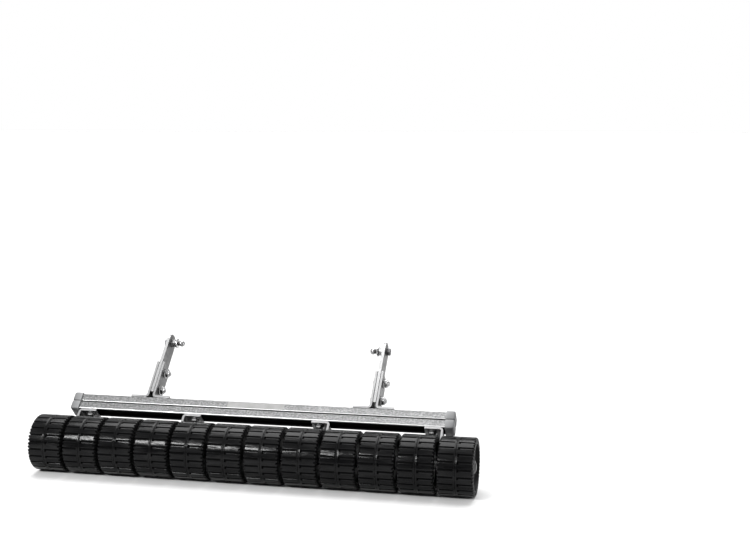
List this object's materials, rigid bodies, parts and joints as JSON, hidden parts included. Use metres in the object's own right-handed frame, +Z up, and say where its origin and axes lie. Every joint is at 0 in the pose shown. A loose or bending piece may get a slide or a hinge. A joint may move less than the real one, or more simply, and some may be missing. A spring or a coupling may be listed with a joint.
{
  "type": "lawn roller attachment",
  "caption": "Ground-following lawn roller attachment: grooved black rollers that turn freely on one axle, hung under an aluminium beam with bolted masts that link to a mower.",
  "frame": {"origin": "on the ground under the middle of the whole footprint, rollers standing on Z = 0", "axes": "+X along the axle to the viewer's right, +Y away from the viewer towards which the masts lean, +Z up"},
  "size_m": [0.9076, 0.263, 0.2566],
  "materials": {
    "roller_plastic": "satin moulded black plastic, lands slightly rubbed",
    "plated_steel": "zinc-plated plate with bright cut edges",
    "bright_fasteners": "bright zinc-plated nuts and bolts",
    "dark_steel": "black oxide",
    "aluminium": "mill finish, finely mottled",
    "cap_plastic": "smooth grey moulding"
  },
  "bodies": {
    "frame": {"axle": "plated_steel", "axle_retainer_left": "dark_steel", "axle_retainer_right": "dark_steel", "axle_spacer_1": "dark_steel", "axle_spacer_2": "dark_steel", "axle_spacer_3": "dark_steel", "axle_spacer_4": "dark_steel", "axle_spacer_5": "dark_steel", "axle_spacer_6": "dark_steel", "axle_spacer_7": "dark_steel", "hanger_1": "plated_steel", "hanger_bolt_1": "bright_fasteners", "hanger_2": "plated_steel", "hanger_bolt_2": "bright_fasteners", "hanger_3": "plated_steel", "hanger_bolt_3": "bright_fasteners", "hanger_4": "plated_steel", "hanger_bolt_4": "bright_fasteners", "beam": "aluminium", "end_cap_left": "cap_plastic", "end_cap_right": "cap_plastic", "mast_bar_left": "plated_steel", "mast_bracket_left_a": "plated_steel", "foot_bolt_left_a": "bright_fasteners", "mast_bracket_left_b": "plated_steel", "foot_bolt_left_b": "bright_fasteners", "mast_bolt_left_1": "bright_fasteners", "lock_nut_left_1": "bright_fasteners", "mast_bolt_left_2": "bright_fasteners", "lock_nut_left_2": "bright_fasteners", "top_pin_left": "dark_steel", "flange_nut_left": "bright_fasteners", "dome_nut_left": "bright_fasteners", "mast_bar_right": "plated_steel", "mast_bracket_right_a": "plated_steel", "foot_bolt_right_a": "bright_fasteners", "mast_bracket_right_b": "plated_steel", "foot_bolt_right_b": "bright_fasteners", "mast_bolt_right_1": "bright_fasteners", "lock_nut_right_1": "bright_fasteners", "mast_bolt_right_2": "bright_fasteners", "lock_nut_right_2": "bright_fasteners", "top_pin_right": "dark_steel", "flange_nut_right": "bright_fasteners", "dome_nut_right": "bright_fasteners"},
    "roller_01": {"roller_01": "roller_plastic"},
    "roller_02": {"roller_02": "roller_plastic"},
    "roller_03": {"roller_03": "roller_plastic"},
    "roller_04": {"roller_04": "roller_plastic"},
    "roller_05": {"roller_05": "roller_plastic"},
    "roller_06": {"roller_06": "roller_plastic"},
    "roller_07": {"roller_07": "roller_plastic"},
    "roller_08": {"roller_08": "roller_plastic"},
    "roller_09": {"roller_09": "roller_plastic"},
    "roller_10": {"roller_10": "roller_plastic"},
    "roller_11": {"roller_11": "roller_plastic"},
    "roller_12": {"roller_12": "roller_plastic"}
  },
  "joints": [
    {"name": "roller_01_spin", "type": "hinge", "parent": "frame", "child": "roller_01", "pos_m": [-0.4191, -0.07438, 0.05714], "axis": [1, 0, 0], "continuous": true},
    {"name": "roller_02_spin", "type": "hinge", "parent": "frame", "child": "roller_02", "pos_m": [-0.3429, -0.07438, 0.05714], "axis": [1, 0, 0], "continuous": true},
    {"name": "roller_03_spin", "type": "hinge", "parent": "frame", "child": "roller_03", "pos_m": [-0.2667, -0.07438, 0.05714], "axis": [1, 0, 0], "continuous": true},
    {"name": "roller_04_spin", "type": "hinge", "parent": "frame", "child": "roller_04", "pos_m": [-0.1905, -0.07438, 0.05714], "axis": [1, 0, 0], "continuous": true},
    {"name": "roller_05_spin", "type": "hinge", "parent": "frame", "child": "roller_05", "pos_m": [-0.1143, -0.07438, 0.05714], "axis": [1, 0, 0], "continuous": true},
    {"name": "roller_06_spin", "type": "hinge", "parent": "frame", "child": "roller_06", "pos_m": [-0.0381, -0.07438, 0.05714], "axis": [1, 0, 0], "continuous": true},
    {"name": "roller_07_spin", "type": "hinge", "parent": "frame", "child": "roller_07", "pos_m": [0.0381, -0.07438, 0.05714], "axis": [1, 0, 0], "continuous": true},
    {"name": "roller_08_spin", "type": "hinge", "parent": "frame", "child": "roller_08", "pos_m": [0.1143, -0.07438, 0.05714], "axis": [1, 0, 0], "continuous": true},
    {"name": "roller_09_spin", "type": "hinge", "parent": "frame", "child": "roller_09", "pos_m": [0.1905, -0.07438, 0.05714], "axis": [1, 0, 0], "continuous": true},
    {"name": "roller_10_spin", "type": "hinge", "parent": "frame", "child": "roller_10", "pos_m": [0.2667, -0.07438, 0.05714], "axis": [1, 0, 0], "continuous": true},
    {"name": "roller_11_spin", "type": "hinge", "parent": "frame", "child": "roller_11", "pos_m": [0.3429, -0.07438, 0.05714], "axis": [1, 0, 0], "continuous": true},
    {"name": "roller_12_spin", "type": "hinge", "parent": "frame", "child": "roller_12", "pos_m": [0.4191, -0.07438, 0.05714], "axis": [1, 0, 0], "continuous": true}
  ]
}
